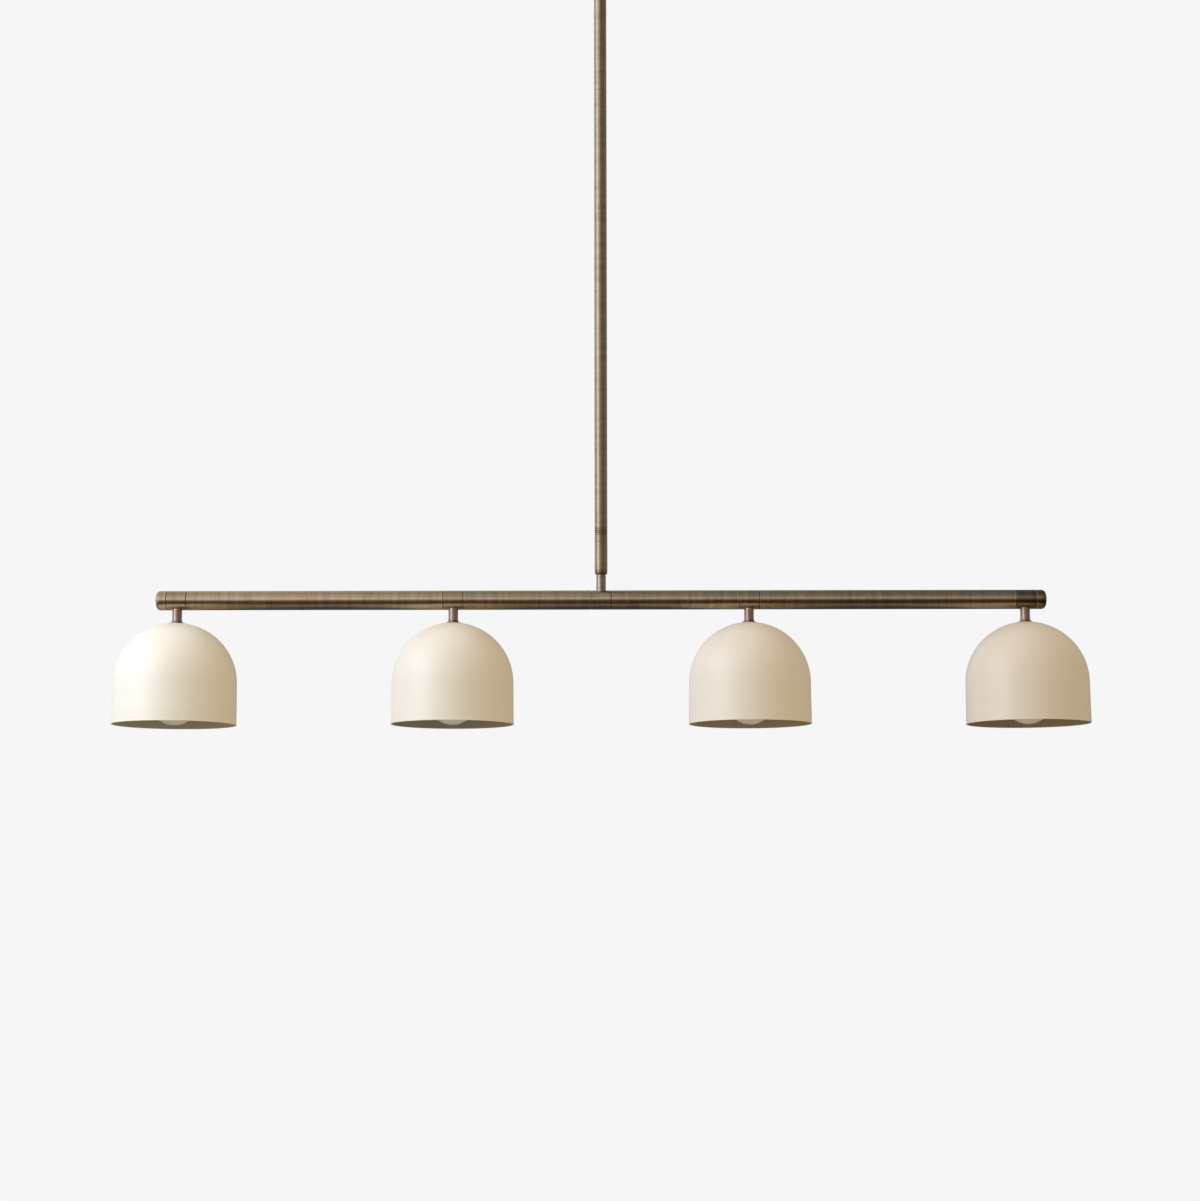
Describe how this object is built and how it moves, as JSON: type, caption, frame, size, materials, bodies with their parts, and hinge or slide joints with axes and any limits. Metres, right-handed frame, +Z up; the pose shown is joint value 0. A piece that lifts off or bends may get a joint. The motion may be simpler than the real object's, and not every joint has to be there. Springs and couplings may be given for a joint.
{
  "type": "linear island pendant light",
  "caption": "Linear pendant light: a stem on a ceiling swivel carries a level metal bar with domed metal shades hung below it on short necks.",
  "frame": {"origin": "middle of the ceiling fixing, on the ceiling plane", "axes": "+Z up into the ceiling, +X along the bar to the viewer's right, -Y towards the viewer"},
  "size_m": [1.2104, 0.1524, 1.0447],
  "materials": {
    "aged_brass": "antique, fine lathe and brush lines, satin",
    "champagne_satin": "satin champagne metallic, faint spun lines",
    "plain_brass": "plain turned",
    "plated_steel": "zinc plated",
    "blackened_steel": "blackened",
    "ground_green": "green ground screw",
    "porcelain": "glazed",
    "bulb_metal": "rolled thread",
    "frosted_glass": "inside frosted, gloss outside",
    "lead_sheath": "matt sheath",
    "splice_nylon": "natural nylon"
  },
  "bodies": {
    "ceiling": {"crossbar": "plated_steel", "ground_screw": "ground_green", "center_nipple": "plated_steel", "nipple_locknut": "plated_steel", "canopy": "aged_brass", "canopy_studs": "plated_steel", "canopy_cap_nuts": "aged_brass", "swivel_cup": "aged_brass", "cup_bush": "plated_steel"},
    "swivel": {"swivel_fork": "aged_brass", "swivel_pin": "aged_brass", "shank_nut": "plated_steel"},
    "light": {"swivel_tongue": "aged_brass", "stem_upper": "aged_brass", "stem_lower": "aged_brass", "stem_ferrule": "aged_brass", "stem_inserts": "plain_brass", "stem_nipples": "plated_steel", "stem_neck": "aged_brass", "tee_hub": "aged_brass", "bar_tube_inner_left": "aged_brass", "bar_tube_outer_left": "aged_brass", "bar_tube_inner_right": "aged_brass", "bar_tube_outer_right": "aged_brass", "end_cap_left": "aged_brass", "end_cap_right": "aged_brass", "bar_grub_screws": "blackened_steel", "lamp_nipples": "plated_steel", "shade_locknuts": "plated_steel", "socket_caps": "plated_steel", "socket_shells": "plain_brass", "socket_contacts": "plain_brass", "stem_leads": "lead_sheath", "lamp_leads": "lead_sheath", "splice_sleeves": "splice_nylon", "lamp_hub_1": "aged_brass", "lamp_neck_1": "aged_brass", "shade_1": "champagne_satin", "socket_body_1": "porcelain", "lamp_hub_2": "aged_brass", "lamp_neck_2": "aged_brass", "shade_2": "champagne_satin", "socket_body_2": "porcelain", "lamp_hub_3": "aged_brass", "lamp_neck_3": "aged_brass", "shade_3": "champagne_satin", "socket_body_3": "porcelain", "lamp_hub_4": "aged_brass", "lamp_neck_4": "aged_brass", "shade_4": "champagne_satin", "socket_body_4": "porcelain"},
    "bulb_1": {"bulb_base_1": "bulb_metal", "bulb_glass_1": "frosted_glass"},
    "bulb_2": {"bulb_base_2": "bulb_metal", "bulb_glass_2": "frosted_glass"},
    "bulb_3": {"bulb_base_3": "bulb_metal", "bulb_glass_3": "frosted_glass"},
    "bulb_4": {"bulb_base_4": "bulb_metal", "bulb_glass_4": "frosted_glass"}
  },
  "joints": [
    {"name": "stem_turn", "type": "hinge", "parent": "ceiling", "child": "swivel", "pos_m": [0, 0, -0.0443], "axis": [0, 0, 1], "range_deg": [-175, 175]},
    {"name": "stem_tilt", "type": "hinge", "parent": "swivel", "child": "light", "pos_m": [0, 0, -0.0593], "axis": [0, 1, 0], "range_deg": [-45, 45]},
    {"name": "bulb_1_unscrew", "type": "slide", "parent": "light", "child": "bulb_1", "axis": [0, 0, -1], "range_m": [0, 0.03]},
    {"name": "bulb_2_unscrew", "type": "slide", "parent": "light", "child": "bulb_2", "axis": [0, 0, -1], "range_m": [0, 0.03]},
    {"name": "bulb_3_unscrew", "type": "slide", "parent": "light", "child": "bulb_3", "axis": [0, 0, -1], "range_m": [0, 0.03]},
    {"name": "bulb_4_unscrew", "type": "slide", "parent": "light", "child": "bulb_4", "axis": [0, 0, -1], "range_m": [0, 0.03]}
  ]
}
